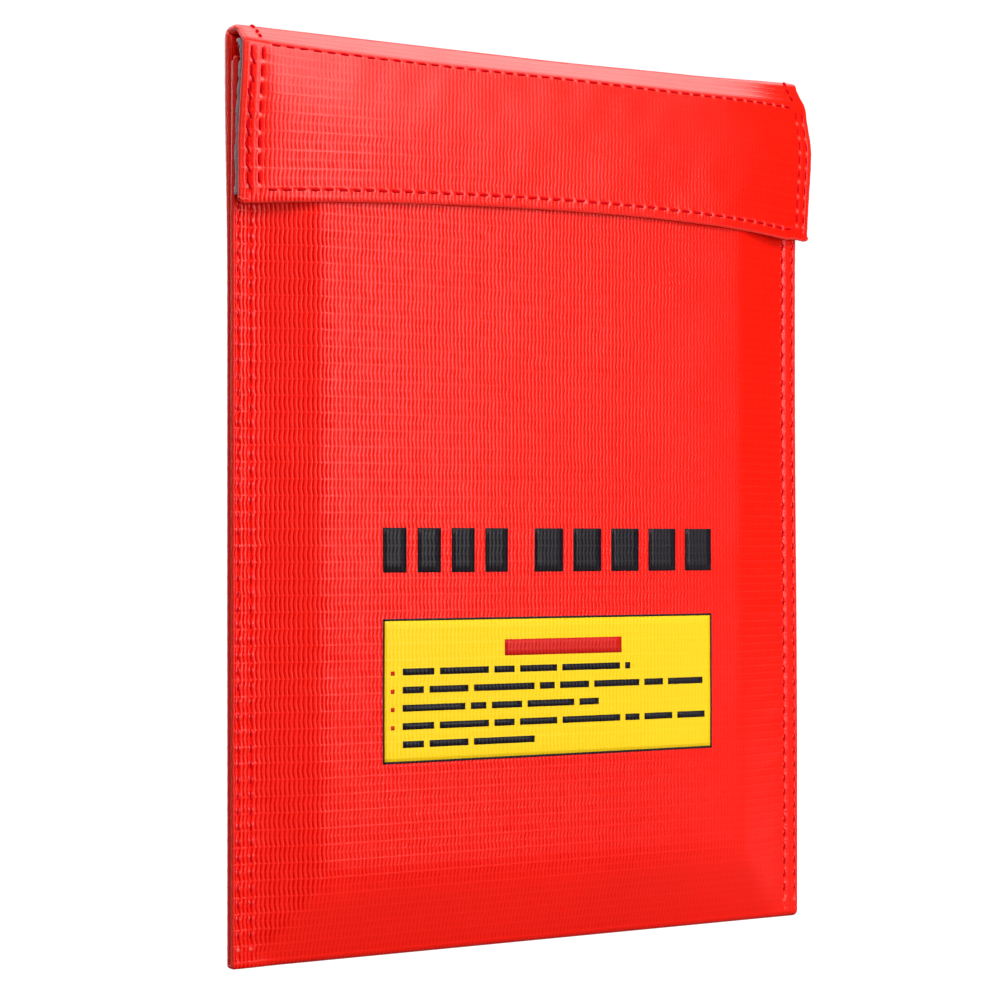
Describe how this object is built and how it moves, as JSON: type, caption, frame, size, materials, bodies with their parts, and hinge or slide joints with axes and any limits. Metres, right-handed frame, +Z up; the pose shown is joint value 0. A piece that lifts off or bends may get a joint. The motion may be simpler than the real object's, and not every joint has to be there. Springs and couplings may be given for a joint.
{
  "type": "battery safety bag",
  "caption": "Flat sewn fire-resistant pouch of red coated glass cloth with a grey lining, a raised front and back, and a fold-over hook-and-loop flap, for charging and storing batteries.",
  "frame": {"origin": "middle of the bottom of the closed bag's bounding box, on the bottom fold", "axes": "+Z up from the bottom fold to the top crease, +X along the bag's width, -Y out of the front face with the flap and the print"},
  "size_m": [0.233, 0.0222, 0.3],
  "materials": {
    "coated_cloth": "satin coating over a plain glass weave",
    "glass_lining": "matte woven glass fibre",
    "loop_pile": "soft pile",
    "hook_pile": "stiff pile",
    "sewing_thread": "twisted polyester thread",
    "yellow_ink": "printed ink, satin",
    "black_ink": "printed ink, satin",
    "red_ink": "printed ink, satin"
  },
  "bodies": {
    "pouch": {"bottom_fold": "coated_cloth", "front_panel": "coated_cloth", "back_panel": "coated_cloth", "lining_fold": "glass_lining", "front_lining": "glass_lining", "back_lining": "glass_lining", "front_left_hem": "coated_cloth", "front_right_hem": "coated_cloth", "back_left_hem": "coated_cloth", "back_right_hem": "coated_cloth", "mouth_hem": "coated_cloth", "left_outer_stitches": "sewing_thread", "left_inner_stitches": "sewing_thread", "right_outer_stitches": "sewing_thread", "right_inner_stitches": "sewing_thread", "mouth_stitches": "sewing_thread", "loop_strip": "loop_pile", "loop_strip_stitches": "sewing_thread", "title_print": "black_ink", "notice_field": "yellow_ink", "notice_border": "black_ink", "notice_heading": "red_ink", "notice_lines": "black_ink", "notice_dots": "red_ink"},
    "band": {"flap_band": "coated_cloth", "band_lining": "glass_lining", "band_left_hem": "coated_cloth", "band_right_hem": "coated_cloth", "band_stitches": "sewing_thread"},
    "flap": {"flap_face": "coated_cloth", "flap_lining": "glass_lining", "flap_left_hem": "coated_cloth", "flap_right_hem": "coated_cloth", "flap_bottom_hem": "coated_cloth", "hook_strip": "hook_pile", "hook_strip_stitches": "sewing_thread", "flap_top_stitches": "sewing_thread", "flap_bottom_stitches": "sewing_thread", "flap_left_stitches": "sewing_thread", "flap_right_stitches": "sewing_thread"}
  },
  "joints": [
    {"name": "top_crease", "type": "hinge", "parent": "pouch", "child": "band", "pos_m": [0, 0.00382, 0.2994], "axis": [-1, 0, 0], "range_deg": [0, 180]},
    {"name": "front_crease", "type": "hinge", "parent": "band", "child": "flap", "pos_m": [0, -0.01047, 0.2913], "axis": [-1, 0, 0], "range_deg": [0, 60]}
  ]
}
